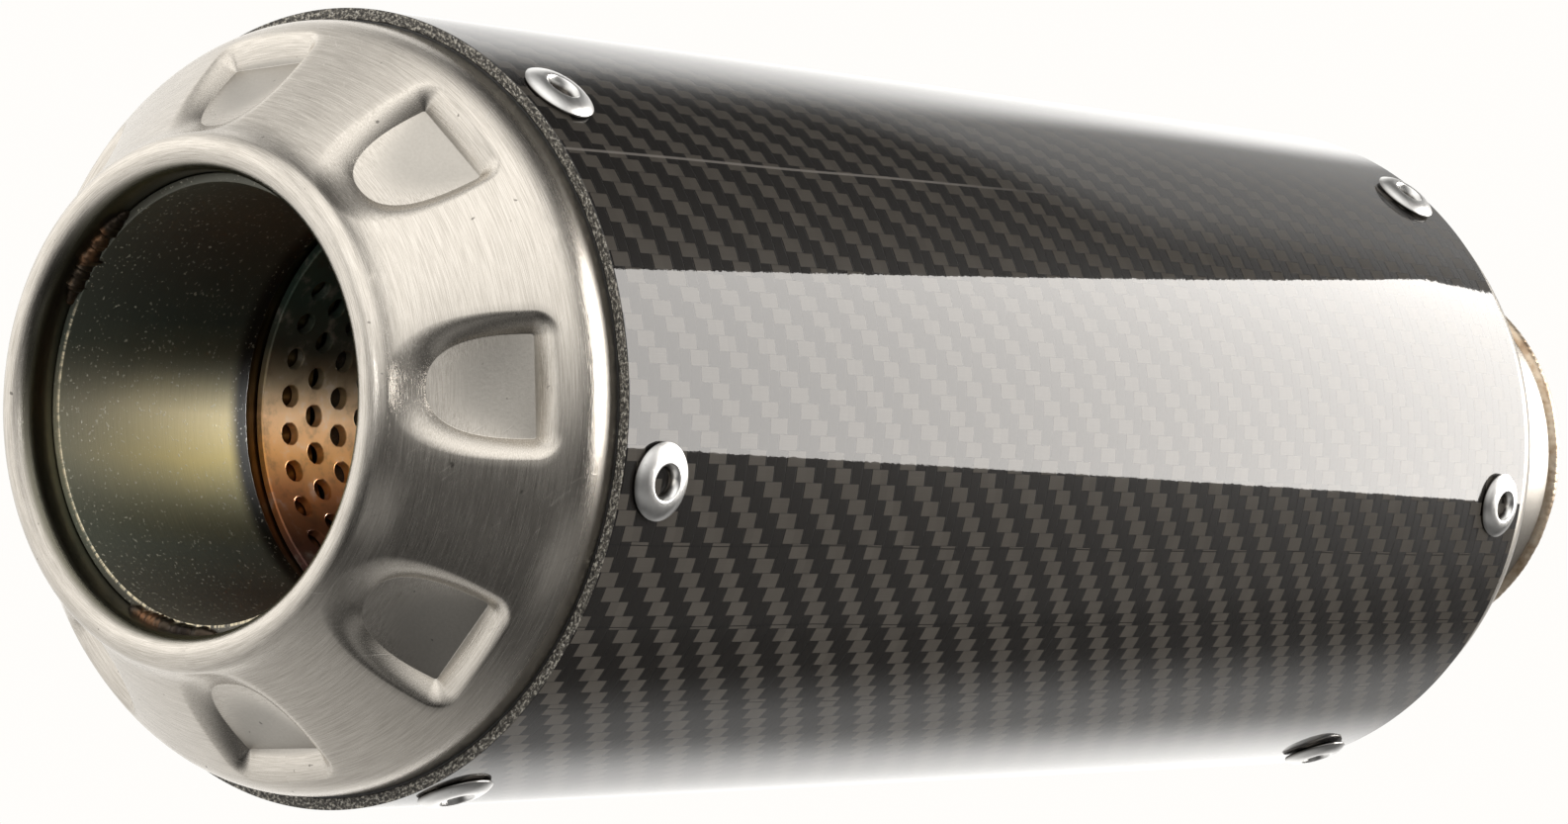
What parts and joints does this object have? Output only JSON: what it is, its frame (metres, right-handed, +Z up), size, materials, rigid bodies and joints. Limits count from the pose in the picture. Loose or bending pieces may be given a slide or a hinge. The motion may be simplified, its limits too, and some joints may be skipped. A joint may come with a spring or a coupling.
{
  "type": "exhaust muffler",
  "caption": "Round motorcycle exhaust muffler: carbon fibre sleeve riveted between a dimpled, rolled-lip steel outlet cap and a necked steel inlet cap, with a perforated core and packing.",
  "frame": {"origin": "centre of the inlet collar's mouth, where the link pipe enters", "axes": "+X along the muffler's axis from the outlet to the inlet, which is forward on a motorcycle; +Z up through one dimple of the outlet cap; +Y to the left of travel"},
  "size_m": [0.2867, 0.103, 0.1016],
  "materials": {
    "carbon_fibre": "2x2 twill carbon fibre in clear gloss resin",
    "brushed_stainless": "spun and hand-brushed round the axis, warm grey",
    "polished_stainless": "fine brushed, near polished",
    "plain_stainless": "mill finish",
    "heat_tinted_stainless": "heat tinted teal, bronze and straw, with fine specks",
    "perforated_stainless": "heat tinted copper to teal",
    "weld": "rippled weld bead with straw and brown heat tint",
    "rivet_aluminium": "bright drawn aluminium",
    "mandrel_steel": "broken steel wire end",
    "silicone": "matt high-temperature silicone",
    "steel_wool": "fine stainless wool",
    "glass_fibre_packing": "needled glass fibre mat"
  },
  "bodies": {
    "root": {"carbon_sleeve": "carbon_fibre", "outlet_end_cap": "brushed_stainless", "inlet_end_cap": "polished_stainless", "outlet_tube": "heat_tinted_stainless", "perforated_core": "perforated_stainless", "core_socket": "plain_stainless", "inlet_collar": "plain_stainless", "inlet_weld_bead": "weld", "core_socket_weld": "weld", "core_weld": "weld", "outlet_tack_welds": "weld", "outlet_rivets": "rivet_aluminium", "inlet_rivets": "rivet_aluminium", "outlet_rivet_mandrels": "mandrel_steel", "inlet_rivet_mandrels": "mandrel_steel", "outlet_sealant": "silicone", "inlet_sealant": "silicone", "steel_wool_wrap": "steel_wool", "packing_blanket": "glass_fibre_packing", "packing_tie_wires": "plain_stainless"}
  },
  "joints": []
}
